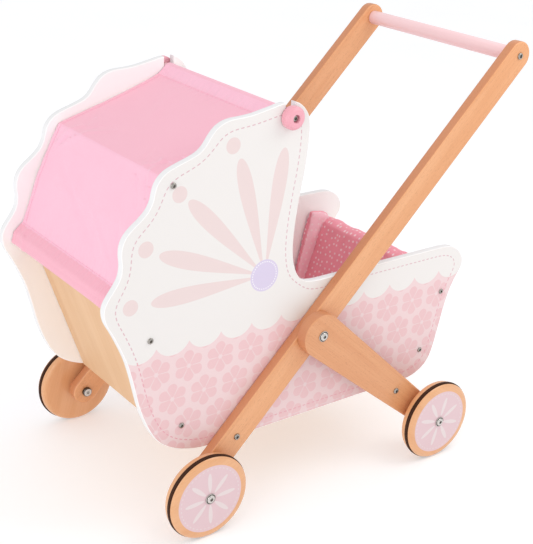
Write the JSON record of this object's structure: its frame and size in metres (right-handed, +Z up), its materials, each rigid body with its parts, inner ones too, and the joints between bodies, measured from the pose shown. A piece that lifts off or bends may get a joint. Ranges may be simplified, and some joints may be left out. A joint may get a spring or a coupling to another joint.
{
  "type": "doll pram",
  "caption": "Wooden doll's pram with scalloped side panels, cloth hood, crossed handle bars and legs, and turned wheels with rubber rings.",
  "frame": {"origin": "on the ground, under the centre of the pram's bounding box", "axes": "+X points from the hood to the handle, +Y to the pram's right-hand side for whoever pushes it, +Z up"},
  "size_m": [0.5788, 0.366, 0.5206],
  "materials": {
    "white_lacquer": "white lacquered board with a printed pattern",
    "plywood": "clear lacquered plywood",
    "beech": "clear lacquered beech",
    "pink_lacquer": "pink lacquered wood",
    "nickel": "nickel plated steel",
    "rubber_ring": "matt black rubber",
    "pink_cotton": "plain woven cotton",
    "dotted_cotton": "woven cotton printed with small dots"
  },
  "bodies": {
    "chassis": {"bar_screw_left": "nickel", "bar_screw_right": "nickel", "canopy": "pink_cotton", "floor_board": "plywood", "foot_board": "plywood", "foot_liner": "dotted_cotton", "foot_screw_lower_left": "nickel", "foot_screw_lower_right": "nickel", "foot_screw_upper_left": "nickel", "foot_screw_upper_right": "nickel", "front_axle_left": "nickel", "front_axle_right": "nickel", "front_spacer_left": "beech", "front_spacer_right": "beech", "handle_bar_left": "beech", "handle_bar_right": "beech", "handle_rod": "pink_lacquer", "head_board": "plywood", "head_screw_lower_left": "nickel", "head_screw_lower_right": "nickel", "head_screw_upper_left": "nickel", "head_screw_upper_right": "nickel", "hood_elbow_bar": "beech", "hood_lower_bar": "beech", "hood_screw_left": "nickel", "hood_screw_right": "nickel", "leg_screw_left": "nickel", "leg_screw_right": "nickel", "leg_spacer_left": "beech", "leg_spacer_right": "beech", "mattress": "dotted_cotton", "pivot_bolt_left": "nickel", "pivot_bolt_right": "nickel", "rear_axle_left": "nickel", "rear_axle_right": "nickel", "rear_leg_left": "beech", "rear_leg_right": "beech", "rear_spacer_left": "beech", "rear_spacer_right": "beech", "rod_screw_left": "nickel", "rod_screw_right": "nickel", "side_panel_left": "white_lacquer", "side_panel_right": "white_lacquer"},
    "hood_bar": {"canopy_hem": "pink_cotton", "hood_knob_left": "pink_lacquer", "hood_knob_right": "pink_lacquer", "hood_knob_screw_left": "nickel", "hood_knob_screw_right": "nickel", "hood_top_bar": "pink_lacquer"},
    "front_left": {"front_wheel_left": "beech", "front_tyre_left": "rubber_ring"},
    "front_right": {"front_wheel_right": "beech", "front_tyre_right": "rubber_ring"},
    "rear_left": {"rear_wheel_left": "beech", "rear_tyre_left": "rubber_ring"},
    "rear_right": {"rear_wheel_right": "beech", "rear_tyre_right": "rubber_ring"}
  },
  "joints": [
    {"name": "front_left_wheel_spin", "type": "hinge", "parent": "chassis", "child": "front_left", "pos_m": [-0.1798, -0.1563, 0.052], "axis": [0, 1, 0], "continuous": true},
    {"name": "front_right_wheel_spin", "type": "hinge", "parent": "chassis", "child": "front_right", "pos_m": [-0.1798, 0.1563, 0.052], "axis": [0, 1, 0], "continuous": true},
    {"name": "rear_left_wheel_spin", "type": "hinge", "parent": "chassis", "child": "rear_left", "pos_m": [0.161, -0.1717, 0.052], "axis": [0, 1, 0], "continuous": true},
    {"name": "rear_right_wheel_spin", "type": "hinge", "parent": "chassis", "child": "rear_right", "pos_m": [0.161, 0.1717, 0.052], "axis": [0, 1, 0], "continuous": true},
    {"name": "hood_bar_lift", "type": "slide", "parent": "chassis", "child": "hood_bar", "axis": [0, 0, 1], "range_m": [0, 0.022]}
  ]
}
